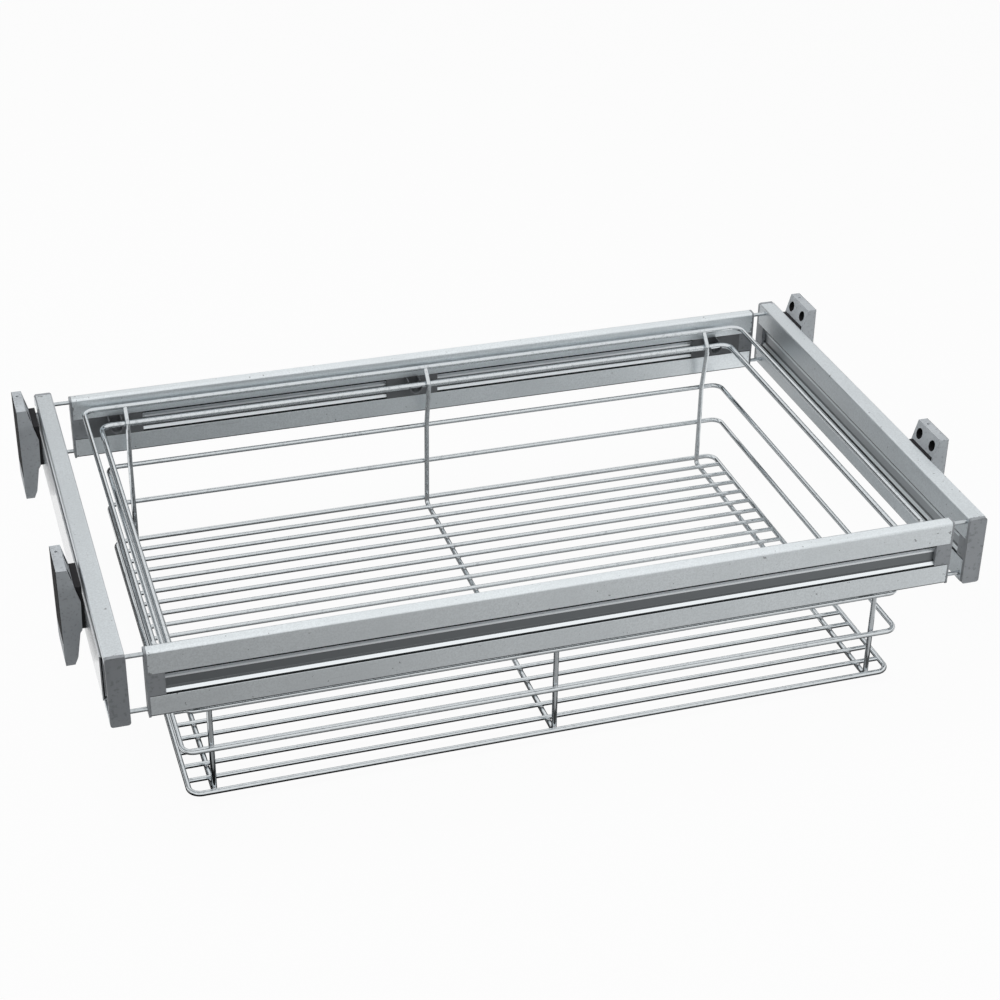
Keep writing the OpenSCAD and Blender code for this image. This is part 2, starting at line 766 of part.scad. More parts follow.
module clip(end, mid_x, cradle_x) {
    face_y = opening_half;
    shift = cradle_x - mid_x;
    wire_out = support_cross_gap;
    notch_r = support_d / 2 + cradle_fit;
    out_r = cradle_w / 2;
    in_r = out_r - cradle_wall;
    wire_z = -support_drop;
    belly_z = wire_z - cradle_deep + out_r;
    color(clip_grey)
        translate([mid_x, opening_mid, top_z]) mirror([0, end < 0 ? 1 : 0, 0]) union() {
            translate([0, face_y, 0]) along_x(-clip_len / 2, clip_len / 2)
                polygon(groove_points(fit, fit));
            translate([shift, face_y, 0]) difference() {
                along_y(-cradle_out, groove_step) {
                    difference() {
                        union() {
                            circle_at([0, belly_z], out_r);
                            span([-out_r, belly_z], [out_r, -groove_drop - fit]);
                        }
                        circle_at([0, belly_z], in_r);
                        span([-in_r, belly_z], [in_r, cut]);
                    }
                }
                bar_x(-out_r - cut, out_r + cut, -wire_out, wire_z, notch_r);
                translate([-out_r - cut, -wire_out - notch_r, wire_z])
                    cube([2 * (out_r + cut), 2 * notch_r, support_drop]);
                translate([-out_r - cut, -cradle_out - cut, wire_z])
                    cube([2 * (out_r + cut), cradle_out - wire_out + cut, support_drop]);
            }
        }
}

// Basket wires

module hoop(half_x, half_y, drop, wire_d) {
    color(chrome) translate([basket_x, opening_mid, top_z - drop])
        bent_wire([[-half_x, -half_y], [half_x, -half_y], [half_x, half_y], [-half_x, half_y]],
            hoop_corner_r, wire_d, closed = true);
}

// One cross wire: up from the base, inside the hoops and out again to the rim, where
// its end is welded on from below. Its place is counted from the basket's middle
module cross_wire(x) {
    touch = cross_wire_d / 2 - weld;
    leg_y = hoop_y - hoop_d / 2 - touch;
    neck_y = support_y - support_d / 2 - touch;
    neck = [neck_y, neck_rise - support_drop];
    rim = [hoop_y, -rim_drop];
    half = [
        rim - unit(rim - neck) * (rim_d / 2 - weld), neck,
        [neck_y, -support_drop - support_d / 2], [leg_y, -third_drop + hoop_d / 2],
        [leg_y, -base_drop]
    ];
    points = concat(half, [for (i = [len(half) - 1 : -1 : 0]) [-half[i][0], half[i][1]]]);
    color(chrome) translate([basket_x + x, opening_mid, top_z])
        rotate([90, 0, 90]) bent_wire(points, cross_bend_r, cross_wire_d);
}

module floor_wires() {
    count = round(2 * hoop_y / floor_pitch) - 1;
    pitch = 2 * hoop_y / (count + 1);
    end_x = floor_x - hoop_d / 2 + weld;
    color(chrome) for (i = [1 : count])
        bar_x(basket_x - end_x, basket_x + end_x, opening_mid - hoop_y + i * pitch,
            top_z - floor_drop, floor_wire_d / 2);
}

bracket(left, front);  // bracket_front_left
bracket(right, front);  // bracket_front_right
bracket(left, rear);  // bracket_rear_left
bracket(right, rear);  // bracket_rear_right
spacer(left, front);  // spacer_front_left
spacer(right, front);  // spacer_front_right
spacer(left, rear);  // spacer_rear_left
spacer(right, rear);  // spacer_rear_right
slide_outer(left);  // slide_outer_left
slide_outer(right);  // slide_outer_right
bracket_screws();
slide_middle(left);  // slide_middle_left
slide_middle(right);  // slide_middle_right
outer_cage(left);  // cage_outer_left
outer_cage(right);  // cage_outer_right
inner_cage(left);  // cage_inner_left
inner_cage(right);  // cage_inner_right
balls(left, outer_ball_in, outer_ball_rise);  // balls_outer_left
balls(right, outer_ball_in, outer_ball_rise);  // balls_outer_right
balls(left, inner_ball_in, inner_ball_rise);  // balls_inner_left
balls(right, inner_ball_in, inner_ball_rise);  // balls_inner_right
slide_inner(left);  // slide_inner_left
slide_inner(right);  // slide_inner_right
rail_screws();
side_rail(left);  // side_rail_left
side_rail(right);  // side_rail_right
side_cap(left, front);  // side_cap_front_left
side_cap(right, front);  // side_cap_front_right
side_cap(left, rear);  // side_cap_rear_left
side_cap(right, rear);  // side_cap_rear_right
cross_rail(front);  // front_rail
cross_rail(rear);  // rear_rail
cross_cap(left, front);  // front_rail_cap_left
cross_cap(right, front);  // front_rail_cap_right
cross_cap(left, rear);  // rear_rail_cap_left
cross_cap(right, rear);  // rear_rail_cap_right
rods(left, front);  // rods_front_left
rods(right, front);  // rods_front_right
rods(left, rear);  // rods_rear_left
rods(right, rear);  // rods_rear_right
clip(front, -corner_clip_x, basket_x - corner_cradle_out);  // clip_front_left
clip(front, middle_clip_x, middle_clip_x);  // clip_front_middle
clip(front, corner_clip_x, basket_x + corner_cradle_out);  // clip_front_right
clip(rear, -corner_clip_x, basket_x - corner_cradle_out);  // clip_rear_left
clip(rear, middle_clip_x, middle_clip_x);  // clip_rear_middle
clip(rear, corner_clip_x, basket_x + corner_cradle_out);  // clip_rear_right
hoop(rim_x, hoop_y, rim_drop, rim_d);  // basket_rim
hoop(support_x, support_y, support_drop, support_d);  // basket_support_hoop
hoop(third_x, hoop_y, third_drop, hoop_d);  // basket_third_hoop
hoop(fourth_x, hoop_y, fourth_drop, hoop_d);  // basket_fourth_hoop
hoop(floor_x, hoop_y, floor_drop, hoop_d);  // basket_floor_hoop
floor_wires();  // basket_floor_wires
cross_wire(-cross_wire_out);  // basket_cross_wire_left
cross_wire(0);  // basket_cross_wire_middle
cross_wire(cross_wire_out);  // basket_cross_wire_right
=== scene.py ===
# Wardrobe pull-out drawer: a chromed wire basket in an aluminium frame on ball-bearing slides
import json
import math
import random
import bpy
import bmesh
from mathutils import Matrix, Vector


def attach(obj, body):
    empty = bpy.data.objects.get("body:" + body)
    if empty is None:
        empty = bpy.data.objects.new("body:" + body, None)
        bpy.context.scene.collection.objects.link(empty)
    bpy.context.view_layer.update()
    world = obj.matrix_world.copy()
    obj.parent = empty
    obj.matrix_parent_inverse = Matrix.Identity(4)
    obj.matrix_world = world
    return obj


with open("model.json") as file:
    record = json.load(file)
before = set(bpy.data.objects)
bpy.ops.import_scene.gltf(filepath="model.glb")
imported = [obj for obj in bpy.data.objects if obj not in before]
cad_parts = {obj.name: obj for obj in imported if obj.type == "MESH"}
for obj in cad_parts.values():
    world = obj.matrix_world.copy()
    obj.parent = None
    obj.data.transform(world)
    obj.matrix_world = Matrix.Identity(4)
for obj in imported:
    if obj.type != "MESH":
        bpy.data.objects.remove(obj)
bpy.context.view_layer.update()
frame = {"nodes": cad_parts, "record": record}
nodes = frame["nodes"]
print("frame loaded:", len(nodes), "nodes")


# Lowest and highest corner of a CAD node, in metres to a hundredth of a millimetre
def boxOf(name):
    corners = nodes[name].bound_box
    return [[round(value, 5) for value in corners[index]] for index in (0, 6)]


# Small helpers for building node materials. A value is a number or another node's output

def addNode(tree, kind, **settings):
    made = tree.nodes.new(kind)
    for name, value in settings.items():
        if name in made.inputs:
            made.inputs[name].default_value = value
        else:
            setattr(made, name, value)
    return made


def newMaterial(name, colour, metallic, roughness):
    mat = bpy.data.materials.new(name)
    mat.use_nodes = True
    tree = mat.node_tree
    shader = tree.nodes["Principled BSDF"]
    shader.inputs["Base Color"].default_value = (*colour, 1)
    shader.inputs["Metallic"].default_value = metallic
    shader.inputs["Roughness"].default_value = roughness
    coords = addNode(tree, "ShaderNodeTexCoord")
    return mat, tree, shader, coords.outputs["Object"]


def addNoise(tree, coords, scale, detail, stretch=(1, 1, 1), turn=0):
    mapping = addNode(tree, "ShaderNodeMapping", Scale=stretch, Rotation=(0, 0, turn))
    noise = addNode(tree, "ShaderNodeTexNoise", Scale=scale, Detail=detail)
    tree.links.new(coords, mapping.inputs["Vector"])
    tree.links.new(mapping.outputs["Vector"], noise.inputs["Vector"])
    return noise.outputs["Fac"]


def splitAxes(tree, coords):
    made = addNode(tree, "ShaderNodeSeparateXYZ")
    tree.links.new(coords, made.inputs["Vector"])
    return made.outputs["X"], made.outputs["Y"], made.outputs["Z"]


def remap(tree, value, oldRange, newRange=(0, 1)):
    made = addNode(tree, "ShaderNodeMapRange")
    limits = (*oldRange, *newRange)
    for key, number in zip(("From Min", "From Max", "To Min", "To Max"), limits):
        made.inputs[key].default_value = number
    tree.links.new(value, made.inputs["Value"])
    return made.outputs["Result"]


def mathNode(tree, operation, first, second=0):
    made = addNode(tree, "ShaderNodeMath", operation=operation)
    for socket, value in zip(made.inputs, (first, second)):
        if isinstance(value, (int, float)):
            socket.default_value = value
        else:
            tree.links.new(value, socket)
    return made.outputs["Value"]


def bandMask(tree, value, low, high):
    above = mathNode(tree, "GREATER_THAN", value, low)
    below = mathNode(tree, "LESS_THAN", value, high)
    return mathNode(tree, "MULTIPLY", above, below)


def mixColour(tree, factor, first, second):
    made = addNode(tree, "ShaderNodeMix", data_type="RGBA")
    factorSocket, firstSocket, secondSocket = made.inputs[0], made.inputs[6], made.inputs[7]
    for socket, value in ((factorSocket, factor), (firstSocket, first), (secondSocket, second)):
        if isinstance(value, tuple):
            socket.default_value = (*value, 1)
        else:
            tree.links.new(value, socket)
    return made.outputs[2]


def shaded(colour, share):
    return tuple(part * share for part in colour)


def addBump(tree, shader, height, strength, distance):
    made = addNode(tree, "ShaderNodeBump", Strength=strength, Distance=distance)
    tree.links.new(height, made.inputs["Height"])
    tree.links.new(made.outputs["Normal"], shader.inputs["Normal"])


# Sets a tree's nodes out in columns, by the number of links between each and the output
def layOut(tree, columnWidth=220, rowHeight=180):
    column = {made.name: 0 for made in tree.nodes}
    moved = True
    while moved:
        moved = False
        for link in tree.links:
            needed = column[link.to_node.name] + 1
            if column[link.from_node.name] < needed:
                column[link.from_node.name] = needed
                moved = True
    rows = {}
    for made in tree.nodes:
        place = column[made.name]
        made.location = (-columnWidth * place, -rowHeight * rows.get(place, 0))
        rows[place] = rows.get(place, 0) + 1


# Aluminium rails: matt, with fine draw lines along the rail, faint clouding, a few short
# scratches and small dark chips, more of them at the worn ends. Lengths are in metres,
# scales are in waves per metre, and a range holds the noise levels between which a mark
# fades in

railLook = {
    "roughness": (0.34, 0.46),
    "lineStretch": {"along": 3, "across": 1400}, "lineDetail": 3,
    "grainScale": 900, "grainDetail": 2, "unevenRange": (0.3, 0.7),
    "bump": 0.12, "bumpDepth": 0.0004,
    "cloudScale": 14, "cloudDetail": 4, "cloudRange": (0.4, 0.7), "cloudShade": 0.92,
    "mottleScale": 650, "mottleDetail": 2, "mottleRange": (0.35, 0.65), "mottleShade": 0.88,
    "scratchStretch": {"along": 30, "across": 900}, "scratchTurn": 0.09, "scratchDetail": 1,
    "scratchRange": (0.72, 0.8), "scratchAmount": 0.25, "scratchColour": (0.3, 0.3, 0.31),
    "chipScale": 240, "chipDetail": 2, "chipRange": (0.72, 0.76), "chipAmount": 0.6,
    "chipColour": (0.12, 0.12, 0.125), "wornLength": 0.007, "wornAmount": 0.14,
    # dark band along each rail's lower edge: painted shade
    "lowShadeHeight": 0.0011, "lowShadeBlur": 0.0005, "lowShadeColour": (0.12, 0.125, 0.13),
}

# Zones of the grooves, from the lower limit to the upper one, both counted down from the
# rail's top. The floor is darker, with a darker strip along its lower edge. The bright bevels
# are a painted highlight, standing in for the white they reflect. The narrow steps beside
# the bands are painted dark, as painted shade in those gaps. Each zone has a share of its part's
# colour
grooveLip = 0.0004
grooveZonesWithPaintedLight = (
    {"drops": (0.0396, 0.0313), "part": "floor", "share": 1},
    {"drops": (0.0413, 0.0396), "part": "floor", "share": 0.45},
    # the two bevels: painted highlight
    {"drops": (0.044, 0.0413), "part": "bevel", "share": 1},
    {"drops": (0.0313, 0.025), "part": "bevel", "share": 1},
    # the two steps: painted shade
    {"drops": (0.0465, 0.044), "part": "floor", "share": 0.2},
    {"drops": (0.025, 0.0225), "part": "floor", "share": 0.2},
)

# Colours of each rail's parts, and how far its grooves reach in from the nearer face. The
# bevel colour is a painted highlight. All rails are one aluminium, given as lit and shaded
# copies: the front and rear rails' colours are painted lighter and the side rails' darker
railKinds = {
    "front_rail": {"node": "front_rail", "along": "x", "grooveDepth": 0.0116,
                   "metal": (0.86, 0.91, 0.935), "floor": (0.21, 0.225, 0.235),
                   "bevel": (0.9, 0.94, 0.965)},
    "rear_rail": {"node": "rear_rail", "along": "x", "grooveDepth": 0.0116,
                  "metal": (0.85, 0.9, 0.925), "floor": (0.21, 0.225, 0.235),
                  "bevel": (0.9, 0.94, 0.965)},
    "side_rail": {"node": "side_rail_right", "along": "y", "grooveDepth": 0.0046,
                  "metal": (0.72, 0.765, 0.79), "floor": (0.42, 0.445, 0.46),
                  "bevel": (0.76, 0.8, 0.82)},
}


def stretchAlong(axis, stretch):
    return [stretch["along" if index == axis else "across"] for index in range(3)]


# Colour of the clouded and mottled metal with its scratches and chips, and the scratches
def wornMetal(tree, coords, kind, length, endAt):
    look, metal = railLook, kind["metal"]
    cloud = addNoise(tree, coords, look["cloudScale"], look["cloudDetail"])
    mottle = addNoise(tree, coords, look["mottleScale"], look["mottleDetail"])
    scratches = addNoise(tree, coords, 1, look["scratchDetail"],
                         stretchAlong(length, look["scratchStretch"]), look["scratchTurn"])
    scratch = remap(tree, scratches, look["scratchRange"], (0, look["scratchAmount"]))
    chips = addNoise(tree, coords, look["chipScale"], look["chipDetail"])
    fromMiddle = mathNode(tree, "ABSOLUTE", splitAxes(tree, coords)[length])
    worn = remap(tree, fromMiddle, (endAt - look["wornLength"], endAt), (0, look["wornAmount"]))
    chip = remap(tree, mathNode(tree, "ADD", chips, worn), look["chipRange"],
                 (0, look["chipAmount"]))
    colour = mixColour(tree, remap(tree, cloud, look["cloudRange"]),
                       metal, shaded(metal, look["cloudShade"]))
    colour = mixColour(tree, remap(tree, mottle, look["mottleRange"]),
                       colour, shaded(metal, look["mottleShade"]))
    colour = mixColour(tree, scratch, colour, look["scratchColour"])
    return mixColour(tree, chip, colour, look["chipColour"]), scratch


# Lays the zones of the grooves, with their painted highlight and shade, and a dark band of
# painted shade along the rail's lower edge over a rail's colour
def withGroove(tree, coords, kind, depth, colour):
    low, high = boxOf(kind["node"])
    axes = splitAxes(tree, coords)
    height = axes[2]
    nearFace = min(abs(low[depth]), abs(high[depth]))
    inGroove = bandMask(tree, mathNode(tree, "ABSOLUTE", axes[depth]),
                        nearFace + grooveLip, nearFace + kind["grooveDepth"])
    for zone in grooveZonesWithPaintedLight:
        heights = [high[2] - drop for drop in zone["drops"]]
        inZone = mathNode(tree, "MULTIPLY", inGroove, bandMask(tree, height, *heights))
        colour = mixColour(tree, inZone, colour, shaded(kind[zone["part"]], zone["share"]))
    lowShadeAt = low[2] + railLook["lowShadeHeight"]
    lowShade = remap(tree, height, (lowShadeAt, lowShadeAt + railLook["lowShadeBlur"]), (1, 0))
    return mixColour(tree, lowShade, colour, railLook["lowShadeColour"])


def railMaterial(name):
    look, kind = railLook, railKinds[name]
    length, depth = (0, 1) if kind["along"] == "x" else (1, 0)
    endAt = boxOf(kind["node"])[1][length]
    mat, tree, shader, coords = newMaterial(name, kind["metal"], 1.0, look["roughness"][0])
    colour, scratch = wornMetal(tree, coords, kind, length, endAt)
    tree.links.new(withGroove(tree, coords, kind, depth, colour), shader.inputs["Base Color"])
    grain = addNoise(tree, coords, look["grainScale"], look["grainDetail"])
    lines = addNoise(tree, coords, 1, look["lineDetail"], stretchAlong(length, look["lineStretch"]))
    uneven = mathNode(tree, "ADD", remap(tree, grain, look["unevenRange"], (0, 0.5)),
                      remap(tree, lines, look["unevenRange"], (0, 0.5)))
    tree.links.new(remap(tree, uneven, (0, 1), look["roughness"]), shader.inputs["Roughness"])
    addBump(tree, shader, mathNode(tree, "SUBTRACT", uneven, scratch),
            look["bump"], look["bumpDepth"])
    layOut(tree)
    return mat


# Black places of the brackets: the upper part of the face against the cabinet, down to
# wallDrop below the top, is black, and the counterbores are painted black as painted shade
# inside them. Lengths are in metres
bracketDark = {"wallSkin": 0.0003, "wallDrop": 0.075, "boreRadius": 0.0054}


def bracketBlackWallAndBoreShade(tree, coords):
    dark = bracketDark
    high = boxOf("bracket_front_right")[1]
    mounts = {mount["name"]: mount for mount in frame["record"]["mounts"]}
    front, rear = mounts["screws_front_right"], mounts["screws_rear_right"]
    frontY, rearY = front["pos_m"][1], rear["pos_m"][1]
    borePitch = front["dims"]["spacing_x_mm"] / 1000
    x, y, z = splitAxes(tree, coords)
    atWall = mathNode(tree, "GREATER_THAN", mathNode(tree, "ABSOLUTE", x),
                      high[0] - dark["wallSkin"])
    above = mathNode(tree, "GREATER_THAN", z, high[2] - dark["wallDrop"])
    wall = mathNode(tree, "MULTIPLY", atWall, above)
    atRear = mathNode(tree, "GREATER_THAN", y, (frontY + rearY) / 2)
    middleY = remap(tree, atRear, (0, 1), (frontY, rearY))
    fromMiddle = mathNode(tree, "ABSOLUTE", mathNode(tree, "SUBTRACT", y, middleY))
    sideways = mathNode(tree, "SUBTRACT", fromMiddle, borePitch / 2)
    upward = mathNode(tree, "SUBTRACT", z, front["pos_m"][2])
    squares = [mathNode(tree, "POWER", mathNode(tree, "ABSOLUTE", way), 2)
               for way in (sideways, upward)]
    # counterbores: painted shade inside the holes
    boreShade = mathNode(tree, "LESS_THAN", mathNode(tree, "ADD", *squares), dark["boreRadius"] ** 2)
    return mathNode(tree, "MAXIMUM", wall, boreShade)


# Moulded grey parts: fine grain, faint flow marks and small specks

mouldedLook = {
    "grainDetail": 3, "grainRange": (0.3, 0.7), "roughLess": 0.06, "roughMore": 0.08,
    "cloudStretch": (1, 1, 0.4), "cloudScale": 25, "cloudDetail": 4, "cloudRange": (0.35, 0.7),
    "speckDetail": 1, "speckRange": (0.58, 0.72), "bumpDepth": 0.0003,
}
capLook = {
    "colour": (0.235, 0.25, 0.265), "cloudColour": (0.18, 0.192, 0.205),
    "speckColour": (0.14, 0.15, 0.16), "speckScale": 300, "speckAmount": 0.7,
    "roughness": 0.42, "grainScale": 900, "bump": 0.2, "shine": 0.45,
}
clipLook = {
    "colour": (0.12, 0.128, 0.135), "cloudColour": (0.09, 0.096, 0.102),
    "speckColour": (0.2, 0.21, 0.22), "speckScale": 800, "speckAmount": 0.2,
    "roughness": 0.4, "grainScale": 1300, "bump": 0.12, "shine": 0.4,
}
bracketLook = {
    "colour": (0.38, 0.405, 0.425), "cloudColour": (0.29, 0.31, 0.33),
    "speckColour": (0.2, 0.21, 0.22), "speckScale": 420, "speckAmount": 0.6,
    "roughness": 0.5, "grainScale": 900, "bump": 0.2, "shine": 0.25,
    "blackWallAndBoreShadeColour": (0.008, 0.008, 0.009),
}
# Spacer: black plastic, whose near-black is also painted shade for the deep gap between bracket and
# slide
spacerLook = {
    "colour": (0.02, 0.02, 0.022), "cloudColour": (0.014, 0.014, 0.015),
    "speckColour": (0.05, 0.05, 0.05), "speckScale": 700, "speckAmount": 0.3,
    "roughness": 0.7, "grainScale": 1000, "bump": 0.15, "shine": 0.15,
}


def mouldedMaterial(name, look):
    shared = mouldedLook
    mat, tree, shader, coords = newMaterial(name, look["colour"], 0.0, look["roughness"])
    grain = addNoise(tree, coords, look["grainScale"], shared["grainDetail"])
    cloud = addNoise(tree, coords, shared["cloudScale"], shared["cloudDetail"],
                     shared["cloudStretch"])
    specks = addNoise(tree, coords, look["speckScale"], shared["speckDetail"])
    colour = mixColour(tree, remap(tree, cloud, shared["cloudRange"]),
                       look["colour"], look["cloudColour"])
    speck = remap(tree, specks, shared["speckRange"], (0, look["speckAmount"]))
    colour = mixColour(tree, speck, colour, look["speckColour"])
    roughRange = (look["roughness"] - shared["roughLess"], look["roughness"] + shared["roughMore"])
    rough = remap(tree, grain, shared["grainRange"], roughRange)
    if "blackWallAndBoreShadeColour" in look:
        # black cabinet face, and painted shade in the counterbores
        blackWallAndBoreShade = bracketBlackWallAndBoreShade(tree, coords)
        colour = mixColour(tree, blackWallAndBoreShade, colour, look["blackWallAndBoreShadeColour"])
        rough = mathNode(tree, "MAXIMUM", rough, blackWallAndBoreShade)
    shader.inputs["Specular IOR Level"].default_value = look["shine"]
    tree.links.new(colour, shader.inputs["Base Color"])
    tree.links.new(rough, shader.inputs["Roughness"])
    addBump(tree, shader, grain, look["bump"], shared["bumpDepth"])
    layOut(tree)
    return mat


# Bright steel and chrome: nearly mirror-like, with faint waviness and small dull spots

brightLook = {
    "waveDetail": 3, "spotScale": 260, "spotDetail": 3, "spotRange": (0.55, 0.75),
    "bumpDepth": 0.0003,
}
wireLook = {
    "colour": (0.66, 0.695, 0.715), "spotColour": (0.5, 0.53, 0.55),
    "roughness": (0.1, 0.22), "stretch": (1, 1, 1), "waveScale": 60, "bump": 0.03,
}
weldLook = {
    "colour": (0.6, 0.6, 0.61), "spotColour": (0.35, 0.35, 0.36),
    "roughness": (0.25, 0.45), "stretch": (1, 1, 1), "waveScale": 900, "bump": 0.3,
}
rodLook = {
    "colour": (0.53, 0.565, 0.585), "spotColour": (0.4, 0.42, 0.44),
    "roughness": (0.16, 0.3), "stretch": (0.1, 4, 4), "waveScale": 300, "bump": 0.08,
}
slideLook = {
    "colour": (0.72, 0.73, 0.74), "spotColour": (0.6, 0.61, 0.62),
    "roughness": (0.2, 0.3), "stretch": (4, 0.05, 4), "waveScale": 300, "bump": 0.05,
}
screwLook = {
    "colour": (0.58, 0.585, 0.59), "spotColour": (0.4, 0.4, 0.41),
    "roughness": (0.24, 0.4), "stretch": (1, 1, 1), "waveScale": 800, "bump": 0.2,
}
ballLook = {
    "colour": (0.8, 0.8, 0.81), "spotColour": (0.7, 0.7, 0.71),
    "roughness": (0.08, 0.16), "stretch": (1, 1, 1), "waveScale": 600, "bump": 0.03,
}


def brightMaterial(name, look):
    shared = brightLook
    mat, tree, shader, coords = newMaterial(name, look["colour"], 1.0, look["roughness"][0])
    waves = addNoise(tree, coords, look["waveScale"], shared["waveDetail"], look["stretch"])
    spots = addNoise(tree, coords, shared["spotScale"], shared["spotDetail"])
    spot = remap(tree, spots, shared["spotRange"])
    tree.links.new(mixColour(tree, spot, look["colour"], look["spotColour"]),
                   shader.inputs["Base Color"])
    tree.links.new(remap(tree, spot, (0, 1), look["roughness"]), shader.inputs["Roughness"])
    addBump(tree, shader, waves, look["bump"], shared["bumpDepth"])
    layOut(tree)
    return mat


slotMaterials = {
    "cap": mouldedMaterial("capGrey", capLook),
    "clip": mouldedMaterial("clipGrey", clipLook),
    "bracket": mouldedMaterial("bracketGrey", bracketLook),
    "spacer": mouldedMaterial("spacerBlackAndShade", spacerLook),
    "wire": brightMaterial("wireChrome", wireLook),
    "rod": brightMaterial("rodSteel", rodLook),
    "slide_steel": brightMaterial("slideSteel", slideLook),
    "screw": brightMaterial("screwSteel", screwLook),
    "ball": brightMaterial("ballSteel", ballLook),
}
railMaterials = {name: railMaterial(name) for name in railKinds}
weldMaterial = brightMaterial("weldSteel", weldLook)

slotOf = {part["node"]: part["material_slot"] for part in frame["record"]["subparts"]}
for name, obj in nodes.items():
    kindName = name.replace("rail_left", "rail").replace("rail_right", "rail")
    obj.data.materials.clear()
    obj.data.materials.append(railMaterials.get(kindName) or slotMaterials[slotOf[name]])
print("materials set")

# Softly broken edges on the rails and moulded parts: widths in metres, angle in degrees
edges = {
    "widths": {"rail": 0.0003, "cap": 0.0004, "bracket": 0.0006, "spacer": 0.0004, "clip": 0.0003},
    "segments": 2, "sharpAngle": 40, "seamLimit": 0.00001,
}
for name, obj in nodes.items():
    width = edges["widths"].get(slotOf[name])
    if width:
        weld = obj.modifiers.new("joinSeams", "WELD")
        weld.merge_threshold = edges["seamLimit"]
        bevel = obj.modifiers.new("softEdges", "BEVEL")
        bevel.width = width
        bevel.segments = edges["segments"]
        bevel.limit_method = "ANGLE"
        bevel.angle_limit = math.radians(edges["sharpAngle"])
        bevel.harden_normals = True
print("edges softened")

# Weld beads where the wires of the basket touch, half sunk into them. Lengths in metres
beads = {
    "crossWires": ("basket_cross_wire_left", "basket_cross_wire_middle",
                   "basket_cross_wire_right"),
    "hoops": ("basket_support_hoop", "basket_third_hoop", "basket_fourth_hoop",
              "basket_floor_hoop"),
    "floorWires": 20, "sink": 0.0001,
    "belowRim": 0.0017, "insideRim": 0.0016,
    "length": 0.0026, "thickness": 0.0015, "sideShare": 0.8,
    "unevenness": 0.00025, "seed": 7,
}


# Middle of a hoop, half its length and half its width between the wire's centre lines,
# and the radius of the wire
def hoopSizes(name):
    low, high = boxOf(name)
    middle = [(first + last) / 2 for first, last in zip(low, high)]
    radius = (high[2] - low[2]) / 2
    half = [(high[axis] - low[axis]) / 2 - radius for axis in (0, 1)]
    return middle, half, radius


def addBead(mesh, place, size, dice):
    matrix = Matrix.Translation(place) @ Matrix.Diagonal((*size, 1))
    made = bmesh.ops.create_icosphere(mesh, subdivisions=2, radius=1, matrix=matrix)
    for vert in made["verts"]:
        away = (vert.co - Vector(place)).normalized()
        vert.co += away * dice.uniform(-1, 1) * beads["unevenness"]


def weldBeads():
    dice = random.Random(beads["seed"])
    mesh = bmesh.new()
    long, thick, sink = beads["length"], beads["thickness"], beads["sink"]
    middle, half, radius = hoopSizes("basket_rim")
    joints = [(middle[2] - beads["belowRim"], half[1] - beads["insideRim"])]
    for hoop in beads["hoops"]:
        middle, half, radius = hoopSizes(hoop)
        joints.append((middle[2], half[1] - (radius - sink)))
    (middleX, middleY, hoopZ), (halfX, halfY), radius = hoopSizes("basket_floor_hoop")
    sideX = halfX - (radius - sink)
    pitch = 2 * halfY / (beads["floorWires"] + 1)
    wireYs = [middleY - halfY + (index + 1) * pitch for index in range(beads["floorWires"])]
    underWires = boxOf("basket_floor_wires")[0][2] + sink

    for wire in beads["crossWires"]:
        low, high = boxOf(wire)
        x = (low[0] + high[0]) / 2
        for z, fromMiddle in joints:
            for way in (-1, 1):
                addBead(mesh, (x, middleY + way * fromMiddle, z), (long, thick, long), dice)
        for y in wireYs:
            addBead(mesh, (x, y, underWires), (long, long, thick), dice)
    across = long * beads["sideShare"]
    for y in wireYs:
        for way in (-1, 1):
            addBead(mesh, (middleX + way * sideX, y, hoopZ), (thick, across, across), dice)

    data = bpy.data.meshes.new("weldBeads")
    mesh.to_mesh(data)
    mesh.free()
    data.shade_smooth()
    obj = bpy.data.objects.new("weldBeads", data)
    bpy.context.scene.collection.objects.link(obj)
    data.materials.append(weldMaterial)
    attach(obj, "basket")


weldBeads()
print("weld beads made")

